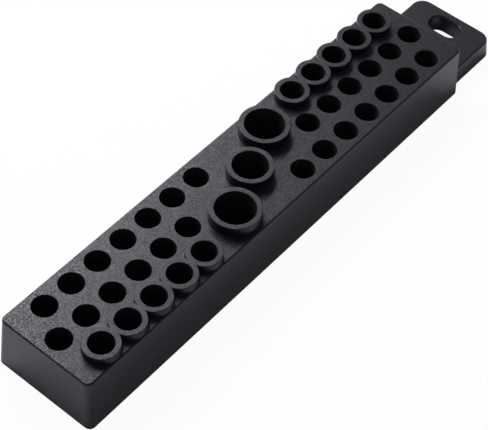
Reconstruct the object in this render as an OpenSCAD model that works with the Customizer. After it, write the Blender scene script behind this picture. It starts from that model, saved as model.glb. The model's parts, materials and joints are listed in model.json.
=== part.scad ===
// Magnetic holder for hexagon driver bits: a moulded rack with rows of round pockets,
// a hang tab at one end, and a screwed base cover that closes the pockets and holds block magnets.
// Origin: middle of the underside. +X runs towards the hang tab, +Z up. Millimetres.

/* [Pocket pattern] */
// Distance between neighbouring bit pockets along a row
pitch = 11; // [9.6:0.1:14]
// Distance between the three rows
row_gap = 11.1; // [10.4:0.1:14]
// Pockets in the outer row that has flush mouths, on each half
long_row = 7; // [6:1:10]
// Pockets in the middle row of each half
middle_row = 6; // [4:1:8]
// Pockets in the outer row that has raised mouths, on each half
raised_row = 5; // [2:1:6]
// Middle of the rack to the nearest pocket of a long row
long_row_start = 12.5; // [12:0.1:18]
// Diameter of a bit pocket: a 1/4 inch hexagon is 7.33 across its corners
bit_bore = 7.9; // [7.5:0.1:8.3]
// Diameter of the two outer adapter pockets
adapter_bore = 13; // [12:0.1:13.6]
// Diameter of the middle adapter pocket
middle_bore = 11.5; // [10:0.1:13]
// Outer adapter pockets, along the rack from its middle
adapter_x = 16.3; // [16.2:0.1:19]
// Outer adapter pockets, across the rack from its middle
adapter_y = 7.7; // [7.2:0.1:8.2]
// Lead-in chamfer at each pocket's mouth
mouth_chamfer = 0.15; // [0.1:0.05:0.5]

/* [Collars] */
// Wall of the raised collars at their top
collar_wall = 1.85; // [1.6:0.05:2]
// Height of the bit collars above the top face
bit_collar_h = 2.9; // [1.5:0.1:5]
// Height of the adapter collars above the top face
adapter_collar_h = 3.85; // [1.5:0.1:6]
// Rounding of a collar's outer edge
collar_round = 0.2; // [0.2:0.05:0.6]
// Sloping foot at a collar's base
collar_foot = 0.1; // [0.1:0.05:0.6]

/* [Moulded body] */
// Height of the body from the underside to the top face
body_h = 20; // [16:0.5:30]
// End pocket of the middle row to the end of the top face
end_margin = 6.4; // [6.2:0.1:12]
// Outer row to the long edge of the top face
side_margin = 6.25; // [6.2:0.05:12]
// Draft of the outer walls, in degrees
draft = 3.4; // [1:0.1:5]
// Radius of the upright corners, the same from the top face to the base
corner_r = 2.1; // [1.5:0.1:5]
// Rounding of the top edges
edge_round = 0.6; // [0.3:0.05:1]
// Thickness of the outer walls
wall = 2; // [1.8:0.1:3]
// Thickness of the top plate
top_plate = 2.2; // [1.5:0.1:3]
// Wall of the tubes that form the pockets
tube_wall = 1.1; // [0.8:0.1:1.3]
// Thickness of the ribs that tie the tubes together
rib = 1.2; // [0.8:0.1:2]
// Height of those ribs below the top plate
rib_h = 5; // [2:0.5:8]

/* [Hang tab] */
// Length of the tab beyond the body, along the underside
tab_l = 24.3; // [20:0.1:40]
// Width of the tab at its top face
tab_w = 30.7; // [22:0.1:34]
// Thickness of the tab
tab_h = 6.7; // [4:0.1:10]
// Draft of the tab's walls, in degrees
tab_draft = 6; // [1:0.5:7]
// Radius of the tab's free corners
tab_corner_r = 4.5; // [2:0.1:7]
// Width of the hang slot, along the rack
slot_w = 7.6; // [5:0.1:9]
// Length of the hang slot, across the rack
slot_l = 12; // [10:0.1:18]
// Slot's far side to the end of the tab's top face
slot_margin = 3; // [2.5:0.1:6]
// Chamfer around the slot's mouth
slot_chamfer = 0.45; // [0.2:0.05:0.8]
// Wall left around the slot and the tab's edge
tab_wall = 2; // [1.4:0.1:3]
// Skin of the tab above its hollow underside
tab_skin = 2.2; // [1.5:0.1:3]

/* [Base cover] */
// Skin above a magnet, which is also a pocket's floor
magnet_skin = 0.8; // [0.6:0.1:1.2]
// Skin of the cover beside the magnets
cover_skin = 1.4; // [1:0.1:2]
// Edge wall of the cover
cover_edge = 1.6; // [1.2:0.1:2.4]
// Ribs under the cover
cover_rib = 1.2; // [0.8:0.1:1.6]
// Rim of the body that shows around the cover
cover_rim = 1.1; // [0.8:0.1:1.4]
// Gap between the cover and the rim
cover_gap = 0.2; // [0.1:0.05:0.3]

/* [Magnets] */
// Magnet along the rack
magnet_l = 12; // [8:0.5:15]
// Magnet across the rack
magnet_w = 20; // [12:0.5:22]
// Magnet thickness
magnet_t = 3; // [2:0.1:3.5]
// Radius of a magnet's upright edges
magnet_corner_r = 0.5; // [0.2:0.1:1]
// Magnets in each of the two groups; one more lies in the middle
magnet_group = 3; // [1:1:3]
// Clearance around each magnet in its recess
magnet_gap = 0.15; // [0.1:0.05:0.3]
// Distance of a magnet's face from the underside
magnet_sunk = 0.2; // [0.1:0.05:0.5]
// Wall around each magnet recess
recess_wall = 1.2; // [0.8:0.1:1.6]

/* [Screws] */
// Diameter over the screw's thread
screw_d = 2.6; // [2:0.1:3]
// Length of the screw from the underside
screw_l = 9; // [7:0.5:12]
// Diameter of the countersunk head
head_d = 5; // [4.4:0.1:5.4]
// Clearance of the screw in its hole, on the radius
screw_gap = 0.05; // [0.03:0.01:0.1]
// Clearance of the screw in the cover, on the radius
cover_hole_gap = 0.2; // [0.1:0.05:0.4]
// Wall of the screw bosses
boss_wall = 1.3; // [1:0.1:1.5]
// Land around each screw head under the cover
head_land = 1; // [0.6:0.1:1.4]
// Middle screws, along the rack from its middle
middle_screw_x = 17; // [16.5:0.1:18]
// Middle screws, across the rack from its middle
middle_screw_y = 3.4; // [3:0.1:4]

/* [Hidden] */
magnet_count = 2 * magnet_group + 1;
$fn = 64;
// Steps in each rounded edge
edge_steps = 5;
// Length by which a cutting solid runs past the face that it opens
past = 1;

// Pattern on the half away from the tab; the other half is this one turned by 180 degrees
first_x = long_row_start + (long_row - 1) * pitch;
flush_half = concat(
    [for (i = [0:long_row - 1]) [-first_x + i * pitch, row_gap]],
    [for (i = [0:middle_row - 1]) [-first_x + (i - 0.5) * pitch, 0]]);
raised_half = [for (i = [0:raised_row - 1]) [-first_x + i * pitch, -row_gap]];
function both_halves(places) = concat(places, [for (p = places) -p]);
flush_pockets = both_halves(flush_half);
raised_pockets = both_halves(raised_half);
adapters = [
    [[-adapter_x, -adapter_y], adapter_bore / 2],
    [[0, 0], middle_bore / 2],
    [[adapter_x, adapter_y], adapter_bore / 2]];

// Body
top_half_l = first_x + pitch / 2 + end_margin;
top_half_w = row_gap + side_margin;
spread = body_h * tan(draft);
base_half_l = top_half_l + spread;
base_half_w = top_half_w + spread;
bit_r = bit_bore / 2;
// Inner edges of the hollow, and its smallest corner
inner_round = 0.5;
inner_corner_r = 0.6;

// Hang tab
tab_end = base_half_l + tab_l;
tab_top_end = tab_end - tab_h * tan(tab_draft);
slot_x = tab_top_end - slot_margin - slot_w / 2;
tab_root = base_half_l - wall - tab_corner_r;

// Base cover and screws
cover_h = magnet_sunk + magnet_t + magnet_skin;
recess_half_l = base_half_l - cover_rim;
recess_half_w = base_half_w - cover_rim;
recess_r = max(corner_r - cover_rim, inner_corner_r + cover_gap);
boss_r = screw_d / 2 + screw_gap + boss_wall;
// The end screws stand where three pockets leave the widest land between them
end_screw_y = (pow(row_gap, 2) - pow(pitch / 2, 2)) / (2 * row_gap);
screw_places = both_halves([[-first_x, end_screw_y], [-middle_screw_x, middle_screw_y]]);
head_h = (head_d - screw_d) / 2;
head_sunk = 0.2;
land_r = head_d / 2 + head_sunk + head_land;
cross_l = 2.6;
cross_w = 0.7;
cross_depth = 0.9;
tip_h = 1.2;
tip_d = screw_d / 4;

// Magnets: each group is spread evenly between an end screw and a middle screw
pit_half_l = magnet_l / 2 + magnet_gap;
pit_half_w = magnet_w / 2 + magnet_gap;
frame_half_l = pit_half_l + recess_wall;
frame_half_w = pit_half_w + recess_wall;
group_space = first_x - middle_screw_x - 2 * land_r;
frame_space = (group_space - magnet_group * 2 * frame_half_l) / (magnet_group + 1);
group_x = [for (i = [1:magnet_group])
    middle_screw_x + land_r + i * frame_space + (2 * i - 1) * frame_half_l];
magnet_x = concat([for (i = [magnet_group:-1:1]) -group_x[i - 1]], [0], group_x);

// Points along a circle's arc
function arc(centre, r, from, to) = [for (i = [0:edge_steps])
    let (a = from + (to - from) * i / edge_steps) centre + r * [cos(a), sin(a)]];

// Block whose walls lean in upwards, with upright corners of radius r and a rounded top edge.
// It is one skin over level rings; each ring is a rounded rectangle, named by its corner radius and height
module drafted_block(half_l, half_w, h, angle, r, edge) {
    rings = concat([[r, 0]], arc([r - edge, h - edge], edge, 0, 90));
    steps = $fn / 4;
    points = [for (ring = rings, quarter = [0:3], i = [0:steps])
        let (a = 90 * (quarter + i / steps),
            side_x = quarter == 0 || quarter == 3 ? 1 : -1,
            side_y = quarter < 2 ? 1 : -1,
            lean = (h - ring.y) * tan(angle))
        [side_x * (half_l - r + lean) + ring.x * cos(a),
            side_y * (half_w - r + lean) + ring.x * sin(a),
            ring.y]];
    n = 4 * (steps + 1);
    top = (len(rings) - 1) * n;
    polyhedron(points, concat(
        [[for (i = [0:n - 1]) i], [for (i = [n - 1:-1:0]) top + i]],
        [for (k = [0:n:top - n], i = [0:n - 1])
            [k + i, k + n + i, k + n + (i + 1) % n, k + (i + 1) % n]]));
}

// Flat rounded rectangle
module round_plate(half_l, half_w, r, h) {
    linear_extrude(h) {
        square([2 * (half_l - r), 2 * half_w], center = true);
        square([2 * half_l, 2 * (half_w - r)], center = true);
        for (sx = [-1, 1], sy = [-1, 1])
            translate([sx * (half_l - r), sy * (half_w - r)]) circle(r);
    }
}

// Raised collar: rounded outer edge above, sloping foot below, standing in the top plate
module collar(r, h) {
    centre = [r - collar_round, h - collar_round];
    rotate_extrude() polygon(concat(
        [[0, -top_plate / 2], [r + collar_foot, -top_plate / 2], [r + collar_foot, 0], [r, collar_foot]],
        arc(centre, collar_round, 0, 90), [[0, h]]));
}

// Cut for one pocket, which runs from the base cover to height mouth above the top face
module pocket(r, mouth) {
    translate([0, 0, cover_h - past]) cylinder(r = r, h = body_h - cover_h + mouth + 2 * past);
    translate([0, 0, body_h + mouth - mouth_chamfer])
        cylinder(r1 = r, r2 = r + mouth_chamfer + past, h = mouth_chamfer + past);
}

// Upright round post from the base cover into the top plate
module post(r) {
    translate([0, 0, cover_h]) cylinder(r = r, h = body_h - cover_h - top_plate / 2);
}

module slot_outline(extra) {
    straight = slot_l - slot_w;
    square([slot_w + 2 * extra, straight], center = true);
    for (s = [-1, 1]) translate([0, s * straight / 2]) circle(slot_w / 2 + extra);
}

module slot_cut() {
    straight = slot_l - slot_w;
    top = tab_h - slot_chamfer;
    r = slot_w / 2;
    wide = r + slot_chamfer + past;
    translate([slot_x, 0, 0]) {
        translate([0, 0, -past]) linear_extrude(tab_h + 2 * past) slot_outline(0);
        for (s = [-1, 1]) translate([0, s * straight / 2, top])
            cylinder(r1 = r, r2 = wide, h = slot_chamfer + past);
        translate([0, 0, top]) rotate([90, 0, 0])
            linear_extrude(straight, center = true)
                polygon([[-r, 0], [r, 0], [wide, slot_chamfer + past], [-wide, slot_chamfer + past]]);
    }
}

module outer_form() {
    drafted_block(top_half_l, top_half_w, body_h, draft, corner_r, edge_round);
    half = (tab_top_end - tab_root) / 2;
    translate([tab_root + half, 0, 0])
        drafted_block(half, tab_w / 2, tab_h, tab_draft, tab_corner_r, edge_round);
    for (p = raised_pockets) translate([p.x, p.y, body_h]) collar(bit_r + collar_wall, bit_collar_h);
    for (a = adapters)
        translate([a[0].x, a[0].y, body_h]) collar(a[1] + collar_wall, adapter_collar_h);
}

// Space inside the walls, under the top plate
module body_hollow() {
    h = body_h - top_plate + past;
    step = top_plate * tan(draft) - wall;
    r = max(corner_r + step, inner_corner_r);
    translate([0, 0, -past])
        drafted_block(top_half_l + step, top_half_w + step, h, draft, r, inner_round);
}

module tab_hollow() {
    start = base_half_l + tab_wall / 2;
    half = (tab_top_end - tab_wall - start) / 2;
    difference() {
        translate([start + half, 0, -past])
            round_plate(half, tab_w / 2 - tab_wall, tab_corner_r - tab_wall / 2, tab_h - tab_skin + past);
        translate([slot_x, 0, -2 * past]) linear_extrude(tab_h + past) slot_outline(tab_wall);
        translate([slot_x - rib / 2, -tab_w / 2, -2 * past]) cube([rib, tab_w, tab_h + past]);
    }
}

// What stands inside the hollow: tubes, ribs and screw bosses
module inner_works() {
    for (p = concat(flush_pockets, raised_pockets))
        translate([p.x, p.y, 0]) post(bit_r + tube_wall);
    for (a = adapters) translate([a[0].x, a[0].y, 0]) post(a[1] + tube_wall);
    for (y = [-row_gap, 0, row_gap])
        translate([-base_half_l, y - rib / 2, body_h - top_plate - rib_h])
            cube([2 * base_half_l, rib, rib_h + top_plate / 2]);
    for (p = screw_places) translate([p.x, p.y, 0]) post(boss_r);
}

module shell() {
    color("#2a2a2d") difference() {
        outer_form();
        difference() {
            body_hollow();
            inner_works();
        }
        translate([0, 0, -past])
            round_plate(recess_half_l, recess_half_w, recess_r, cover_h + past);
        tab_hollow();
        slot_cut();
        for (p = flush_pockets) translate([p.x, p.y, 0]) pocket(bit_r, 0);
        for (p = raised_pockets) translate([p.x, p.y, 0]) pocket(bit_r, bit_collar_h);
        for (a = adapters) translate([a[0].x, a[0].y, 0]) pocket(a[1], adapter_collar_h);
        for (p = screw_places) translate([p.x, p.y, cover_h - past])
            cylinder(d = screw_d + 2 * screw_gap, h = screw_l - cover_h + tip_h + past);
    }
}

// Cells under the cover, left between its edge wall, its ribs and what holds the magnets and screws
module cover_cells() {
    half_l = recess_half_l - cover_gap - cover_edge;
    half_w = recess_half_w - cover_gap - cover_edge;
    r = max(recess_r - cover_gap - cover_edge, inner_corner_r);
    depth = cover_h - cover_skin;
    difference() {
        translate([0, 0, -past]) round_plate(half_l, half_w, r, depth + past);
        translate([0, 0, -2 * past]) linear_extrude(depth + 3 * past) {
            square([2 * half_l + past, cover_rib], center = true);
            for (x = magnet_x) translate([x, 0]) {
                square([cover_rib, 2 * half_w + past], center = true);
                square([2 * frame_half_l, 2 * frame_half_w], center = true);
            }
            for (p = screw_places) translate(p) circle(land_r);
        }
    }
}

module base_cover() {
    hole_r = screw_d / 2 + cover_hole_gap;
    cone_r = head_d / 2 + head_sunk + past;
    color("#232326") difference() {
        round_plate(recess_half_l - cover_gap, recess_half_w - cover_gap, recess_r - cover_gap, cover_h);
        cover_cells();
        for (x = magnet_x) translate([x - pit_half_l, -pit_half_w, -past])
            cube([2 * pit_half_l, 2 * pit_half_w, magnet_sunk + magnet_t + past]);
        for (p = screw_places) translate([p.x, p.y, -past]) {
            cylinder(r = hole_r, h = cover_h + 2 * past);
            cylinder(r1 = cone_r, r2 = hole_r, h = cone_r - hole_r);
        }
    }
}

// Countersunk cross-recess screw, head down
module screw() {
    difference() {
        union() {
            translate([0, 0, head_sunk]) cylinder(r1 = head_d / 2, r2 = screw_d / 2, h = head_h);
            translate([0, 0, head_sunk]) cylinder(d = screw_d, h = screw_l - head_sunk);
            translate([0, 0, screw_l]) cylinder(d1 = screw_d, d2 = tip_d, h = tip_h - screw_gap);
        }
        for (a = [0, 90]) rotate([0, 0, a])
            translate([-cross_l / 2, -cross_w / 2, head_sunk - past])
                cube([cross_l, cross_w, cross_depth + past]);
    }
}

module cover_screws() {
    color("#8d9095") for (p = screw_places) translate([p.x, p.y, 0]) screw();
}

module magnet(i) {
    color("#b9bcc0") translate([magnet_x[i - 1], 0, magnet_sunk])
        round_plate(magnet_l / 2, magnet_w / 2, magnet_corner_r, magnet_t);
}

shell();
base_cover();
cover_screws();
for (i = [1:magnet_count]) magnet(i);
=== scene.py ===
"""Looks of the magnetic bit rack: moulded black ABS with a grained top, a screwed cover and magnets."""

import json
import math

import bpy
from mathutils import Matrix, Vector

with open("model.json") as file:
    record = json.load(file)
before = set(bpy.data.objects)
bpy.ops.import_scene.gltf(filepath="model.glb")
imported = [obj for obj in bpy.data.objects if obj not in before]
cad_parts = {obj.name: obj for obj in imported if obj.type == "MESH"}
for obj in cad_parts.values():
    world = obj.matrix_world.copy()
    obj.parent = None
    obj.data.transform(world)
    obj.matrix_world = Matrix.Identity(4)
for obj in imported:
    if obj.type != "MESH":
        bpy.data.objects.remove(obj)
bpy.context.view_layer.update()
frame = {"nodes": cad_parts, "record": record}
scene = bpy.context.scene

MM = 0.001
WHITE = "#ffffff"


def linear(colour):
    """sRGB hex, such as "#232325", as a linear colour with alpha."""
    parts = [int(colour[i : i + 2], 16) / 255 for i in (1, 3, 5)]
    return [c / 12.92 if c <= 0.04045 else ((c + 0.055) / 1.055) ** 2.4 for c in parts] + [1.0]


def per_metre(size_mm):
    """Noise scale at which the pattern's features are size_mm wide."""
    return 1 / (size_mm * MM)


def add(tree, kind, feeds=None, **settings):
    """Adds a node. Each feed is a value, a socket, or a node, whose first output is then linked."""
    made = tree.nodes.new(kind)
    for name, value in settings.items():
        setattr(made, name, value)
    for socket, value in (feeds or {}).items():
        if isinstance(value, bpy.types.Node):
            value = value.outputs[0]
        if isinstance(value, bpy.types.NodeSocket):
            tree.links.new(value, made.inputs[socket])
        else:
            made.inputs[socket].default_value = value
    return made


def new_material(name):
    """An empty material and its node tree."""
    material = bpy.data.materials.new(name)
    material.use_nodes = True
    material.node_tree.nodes.clear()
    return material, material.node_tree


# Black ABS, injection moulded. The tool's top face was spark eroded, so the top breaks the light up into
# fine specks between small pits, with painted shade at the pits' bottoms. The drafted walls drew off a
# stoned
# tool: they are satin and show the room as a soft gradient. The pocket walls carry painted shade, a dull
# black that hardly reflects, so the pockets read as plain black.
BLACK = "#111119"
# Painted shade: a dull black that hardly reflects, on the pocket walls and at the grain pits' bottoms
PAINTED_SHADE_BLACK = "#202024"
COOL_SHINE = (0.91, 0.90, 1.0, 1.0)    # the gloss on this black is a little blue
TOP_ROUGHNESS = 0.32
WALL_ROUGHNESS = 0.30
POCKET_ROUGHNESS = 0.8
CLOUDINESS = 0.08          # how much rougher the cloudiest patches are
CLOUD_MM = 9.0             # the melt's flow leaves patches about as wide as a pocket
GRAIN_MM = 0.28            # the real pits are about 0.1 mm, drawn coarser so that they show
COVER_GRAIN_MM = 0.3       # drawn coarser too
GRAIN_DEPTH_MM = 0.04
SATIN_DEPTH = 0.15         # share of the grain's depth that the satin walls keep
PIT_SHADE = 0.8            # share of painted shade at a pit's bottom
PIT_EDGE = (0.58, 0.42)    # height of the grain, from a pit's edge to its bottom
TOP_FACE = (0.75, 0.97)    # upward part of the normal, from no grain to full grain
BORE_WALL = (0.3, 0.5)     # upward or downward part of the normal, from a bore's wall to any other face
BORE_SKIN = (0.05 * MM, 0.25 * MM)    # distance past a bore's radius, from painted-shade wall to other skin


def beyond_bores(tree, point, bores):
    """Distance, seen from above, of a point to the wall of the nearest bore: below zero inside it."""
    flat = add(tree, "ShaderNodeVectorMath", operation="MULTIPLY", feeds={0: point, 1: (1, 1, 0)})
    nearest = 1.0
    for bore in bores:
        x, y, _ = bore["pos_m"]
        reach = add(tree, "ShaderNodeVectorMath", operation="DISTANCE", feeds={0: flat, 1: (x, y, 0)})
        gap = add(tree, "ShaderNodeMath", operation="SUBTRACT", feeds={
            0: reach.outputs["Value"], 1: bore["dims"]["r_mm"] * MM})
        nearest = add(tree, "ShaderNodeMath", operation="MINIMUM", feeds={0: gap, 1: nearest})
    return nearest


def moulded_abs(name, bores, grain_mm, grained_walls):
    """Grained on top with painted shade in the pits and bores; grained_walls 1 puts grain on every face.
    """
    material, tree = new_material(name)
    place = add(tree, "ShaderNodeTexCoord").outputs
    up = add(tree, "ShaderNodeSeparateXYZ", feeds={"Vector": place["Normal"]}).outputs["Z"]
    grain = add(tree, "ShaderNodeTexNoise", feeds={
        "Vector": place["Object"], "Scale": per_metre(grain_mm), "Detail": 1.0})
    cloud = add(tree, "ShaderNodeTexNoise", feeds={
        "Vector": place["Object"], "Scale": per_metre(CLOUD_MM), "Detail": 3.0})

    # Which faces are grained top, which are pocket walls; the rest are satin
    top = add(tree, "ShaderNodeMapRange", interpolation_type="SMOOTHSTEP", feeds={
        "Value": up, "From Min": TOP_FACE[0], "From Max": TOP_FACE[1]})
    grained = add(tree, "ShaderNodeMath", operation="MAXIMUM", feeds={0: top, 1: grained_walls})
    flatness = add(tree, "ShaderNodeMath", operation="ABSOLUTE", feeds={0: up})
    upright = add(tree, "ShaderNodeMapRange", interpolation_type="SMOOTHSTEP", feeds={
        "Value": flatness, "From Min": BORE_WALL[0], "From Max": BORE_WALL[1],
        "To Min": 1.0, "To Max": 0.0})
    inside = add(tree, "ShaderNodeMapRange", interpolation_type="SMOOTHSTEP", feeds={
        "Value": beyond_bores(tree, place["Object"], bores),
        "From Min": BORE_SKIN[0], "From Max": BORE_SKIN[1], "To Min": 1.0, "To Max": 0.0})
    pocket = add(tree, "ShaderNodeMath", operation="MULTIPLY", feeds={0: upright, 1: inside})

    # Share of painted shade: all of it on the pocket walls, and some at the bottoms of the grain's pits
    pit = add(tree, "ShaderNodeMapRange", interpolation_type="SMOOTHSTEP", feeds={
        "Value": grain, "From Min": PIT_EDGE[0], "From Max": PIT_EDGE[1], "To Max": PIT_SHADE})
    pits = add(tree, "ShaderNodeMath", operation="MULTIPLY", feeds={0: pit, 1: grained})
    painted_shade_share = add(tree, "ShaderNodeMath", operation="MAXIMUM", feeds={0: pocket, 1: pits})

    polish = add(tree, "ShaderNodeMapRange", interpolation_type="SMOOTHSTEP", feeds={
        "Value": top, "To Min": WALL_ROUGHNESS, "To Max": TOP_ROUGHNESS})
    rough = add(tree, "ShaderNodeMath", operation="MULTIPLY_ADD", feeds={
        0: cloud, 1: CLOUDINESS, 2: polish})
    depth = add(tree, "ShaderNodeMapRange", interpolation_type="SMOOTHSTEP", feeds={
        "Value": grained, "To Min": SATIN_DEPTH})
    bump = add(tree, "ShaderNodeBump", feeds={
        "Strength": depth, "Distance": GRAIN_DEPTH_MM * MM, "Height": grain})
    skin = add(tree, "ShaderNodeBsdfPrincipled", feeds={
        "Base Color": linear(BLACK), "Roughness": rough, "Normal": bump, "IOR": 1.5,
        "Specular Tint": COOL_SHINE})
    # Painted shade for the pocket walls and the pits' bottoms: a dull black that hardly reflects
    painted_shade = add(tree, "ShaderNodeBsdfPrincipled", feeds={
        "Base Color": linear(PAINTED_SHADE_BLACK), "Roughness": POCKET_ROUGHNESS, "IOR": 1.5,
        "Specular IOR Level": 0.1})
    both = add(tree, "ShaderNodeMixShader", feeds={0: painted_shade_share, 1: skin, 2: painted_shade})
    add(tree, "ShaderNodeOutputMaterial", feeds={"Surface": both})
    return material


def plated(name, colour, stain, roughness, patch_mm, wear_mm):
    """Plated metal: bright, with faint cloudy patches and fine handling wear."""
    material, tree = new_material(name)
    place = add(tree, "ShaderNodeTexCoord").outputs["Object"]
    patch = add(tree, "ShaderNodeTexNoise", feeds={
        "Vector": place, "Scale": per_metre(patch_mm), "Detail": 4.0})
    wear = add(tree, "ShaderNodeTexNoise", feeds={
        "Vector": place, "Scale": per_metre(wear_mm), "Detail": 2.0})
    stained = add(tree, "ShaderNodeMapRange", interpolation_type="SMOOTHSTEP", feeds={
        "Value": patch, "From Min": 0.4, "From Max": 0.7})
    tint = add(tree, "ShaderNodeMixRGB", feeds={
        "Fac": stained, "Color1": linear(colour), "Color2": linear(stain)})
    rough = add(tree, "ShaderNodeMapRange", interpolation_type="SMOOTHSTEP", feeds={
        "Value": wear, "From Min": 0.3, "From Max": 0.75,
        "To Min": roughness * 0.8, "To Max": roughness * 1.4})
    bump = add(tree, "ShaderNodeBump", feeds={"Strength": 0.4, "Distance": 0.01 * MM, "Height": wear})
    metal = add(tree, "ShaderNodeBsdfPrincipled", feeds={
        "Base Color": tint, "Metallic": 1.0, "Roughness": rough, "Normal": bump})
    add(tree, "ShaderNodeOutputMaterial", feeds={"Surface": metal})
    return material


def dress(names, material):
    """Gives every slot of the named CAD nodes that material."""
    for name in names:
        for slot in frame["nodes"][name].material_slots:
            slot.material = material


pockets = [m for m in frame["record"]["mounts"] if m["kind"] == "bore"]
magnets = sorted(n for n in frame["nodes"] if n.startswith("magnet_"))
dress(["shell"], moulded_abs("black_abs_moulded", pockets, GRAIN_MM, 0.0))
# The cover is the same plastic off a tool grained all over, so it is speckled on every face, with painted
# shade at the pits' bottoms
dress(["base_cover"], moulded_abs("black_abs_cover", [], COVER_GRAIN_MM, 1.0))
# Steel screws, zinc plated with a clear passivate: pale, faintly blue, slightly cloudy
dress(["cover_screws"], plated("zinc_plated_steel", "#c3c8d0", "#a9adb6", 0.32, 1.5, 0.15))
# Sintered magnet blocks, nickel plated: a warm pale mirror with fine handling marks
dress(magnets, plated("nickel_plated_magnet", "#cbc8c2", "#c0bdb6", 0.20, 4.0, 0.3))


# White paper under the rack. The camera sees it as nearly even white that keeps the rack's shadow faintly,
# while the rack's walls mirror the paper's own colour.
FLOOR_HALF = 3.0
FLOOR_DROP = 0.02 * MM     # just under the base, so that the two faces don't share a plane
PAPER = "#dfdfe5"
SHOWN_WHITE = 0.955        # share of plain white that the camera and clear materials see
MIRRORED_WHITE = 0.015     # and that glossy faces see


def white_paper():
    material, tree = new_material("white_paper_floor")
    path = add(tree, "ShaderNodeLightPath").outputs
    shown = add(tree, "ShaderNodeMath", operation="MAXIMUM", feeds={
        0: path["Is Camera Ray"], 1: path["Is Transmission Ray"]})
    lifted = add(tree, "ShaderNodeMath", operation="MULTIPLY", feeds={0: shown, 1: SHOWN_WHITE})
    share = add(tree, "ShaderNodeMath", operation="MULTIPLY_ADD", feeds={
        0: path["Is Glossy Ray"], 1: MIRRORED_WHITE, 2: lifted})
    paper = add(tree, "ShaderNodeBsdfDiffuse", feeds={"Color": linear(PAPER)})
    white = add(tree, "ShaderNodeEmission", feeds={"Color": linear(WHITE), "Strength": 1.0})
    both = add(tree, "ShaderNodeMixShader", feeds={0: share, 1: paper, 2: white})
    add(tree, "ShaderNodeOutputMaterial", feeds={"Surface": both})
    return material


floor_mesh = bpy.data.meshes.new("floor")
corners = [(x * FLOOR_HALF, y * FLOOR_HALF, 0) for x, y in ((-1, -1), (1, -1), (1, 1), (-1, 1))]
floor_mesh.from_pydata(corners, [], [(0, 1, 2, 3)])
floor_mesh.materials.append(white_paper())
floor = bpy.data.objects.new("floor", floor_mesh)
floor.location.z = -FLOOR_DROP
scene.collection.objects.link(floor)

# The room: a low even light on the rack. Glossy faces see white below the horizon and a dim ceiling above
# it, darker on the camera's side, which deepens the dark line along the top edges. The camera and clear
# materials see white all round.
ROOM_LIGHT = 0.31
CEILING = 0.19
DARK_SIDE = 0.12
DARK_TO_LIT = (-0.35, 0.25)          # from the camera's side to the far side
CAMERA_LOOKS = (0.806, 0.592, 0.0)   # level direction of the camera's view
HORIZON = (-0.02, 0.02)

world = bpy.data.worlds.new("studio")
scene.world = world
world.use_nodes = True
world.node_tree.nodes.clear()
tree = world.node_tree
path = add(tree, "ShaderNodeLightPath").outputs
heading = add(tree, "ShaderNodeTexCoord").outputs["Generated"]
height = add(tree, "ShaderNodeSeparateXYZ", feeds={"Vector": heading}).outputs["Z"]
away = add(tree, "ShaderNodeVectorMath", operation="DOT_PRODUCT", feeds={0: heading, 1: CAMERA_LOOKS})
ceiling = add(tree, "ShaderNodeMapRange", interpolation_type="SMOOTHSTEP", feeds={
    "Value": away.outputs["Value"], "From Min": DARK_TO_LIT[0], "From Max": DARK_TO_LIT[1],
    "To Min": DARK_SIDE, "To Max": CEILING})
mirrored = add(tree, "ShaderNodeMapRange", interpolation_type="SMOOTHSTEP", feeds={
    "Value": height, "From Min": HORIZON[0], "From Max": HORIZON[1], "To Min": 1.0, "To Max": ceiling})
lighting = add(tree, "ShaderNodeMapRange", interpolation_type="SMOOTHSTEP", feeds={
    "Value": path["Is Glossy Ray"], "To Min": ROOM_LIGHT, "To Max": mirrored})
shown = add(tree, "ShaderNodeMath", operation="MAXIMUM", feeds={
    0: path["Is Camera Ray"], 1: path["Is Transmission Ray"]})
strength = add(tree, "ShaderNodeMapRange", interpolation_type="SMOOTHSTEP", feeds={
    "Value": shown, "To Min": lighting, "To Max": 1.0})
sky = add(tree, "ShaderNodeBackground", feeds={"Color": linear(WHITE), "Strength": strength})
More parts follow.
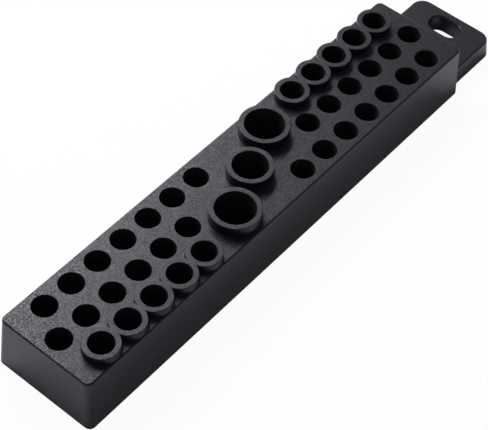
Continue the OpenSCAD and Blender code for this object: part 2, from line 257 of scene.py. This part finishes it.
add(tree, "ShaderNodeOutputWorld", feeds={"Surface": sky})


def softbox(name, centre, aim, length, width, radiance, turn=0.0):
    """A rectangular lamp, turned about its own axis, that glossy faces show and the camera doesn't."""
    lamp = bpy.data.lights.new(name, "AREA")
    lamp.shape = "RECTANGLE"
    lamp.size, lamp.size_y = length, width
    lamp.energy = radiance * math.pi * length * width
    made = bpy.data.objects.new(name, lamp)
    aimed = (Vector(aim) - Vector(centre)).to_track_quat("-Z", "Y").to_matrix().to_4x4()
    made.matrix_world = Matrix.Translation(centre) @ aimed @ Matrix.Rotation(math.radians(turn), 4, "Z")
    made.visible_camera = False
    scene.collection.objects.link(made)


# The strip hangs level past the far end, and the top mirrors it, most of all at the near end. The two
# panels give the rims that face them a thin light edge.
RACK = (0.0, 0.0, 0.01)
softbox("strip_over_the_far_end", (0.207, 0.373, 0.46), (0.207, 0.373, 0.0), 0.60, 0.17, 17.2, 17.2)
softbox("side_panel", (0.60, 0.60, 0.18), RACK, 0.30, 0.30, 6.0)
softbox("back_panel", (-0.10, 0.80, 0.46), RACK, 0.30, 0.30, 5.0)

# Camera fitted to the photograph: place, azimuth, elevation and roll
EYE = (-0.25941, -0.18979, 0.38446)
AZIMUTH, ELEVATION, ROLL = (math.radians(a) for a in (53.68, 50.13, 4.586))
forward = Vector((math.cos(ELEVATION) * math.sin(AZIMUTH),
                  math.cos(ELEVATION) * math.cos(AZIMUTH),
                  -math.sin(ELEVATION)))
level_right = forward.cross(Vector((0, 0, 1))).normalized()
level_up = level_right.cross(forward)
right = math.cos(ROLL) * level_right + math.sin(ROLL) * level_up
up = -math.sin(ROLL) * level_right + math.cos(ROLL) * level_up
camera = bpy.data.objects.new("camera", bpy.data.cameras.new("camera"))
camera.data.sensor_width = 36.0
camera.data.lens = 116.13
camera.data.clip_start, camera.data.clip_end = 0.01, 20.0
camera.matrix_world = Matrix.Translation(EYE) @ Matrix((right, up, -forward)).transposed().to_4x4()
scene.collection.objects.link(camera)
scene.camera = camera

scene.view_settings.view_transform = "Standard"
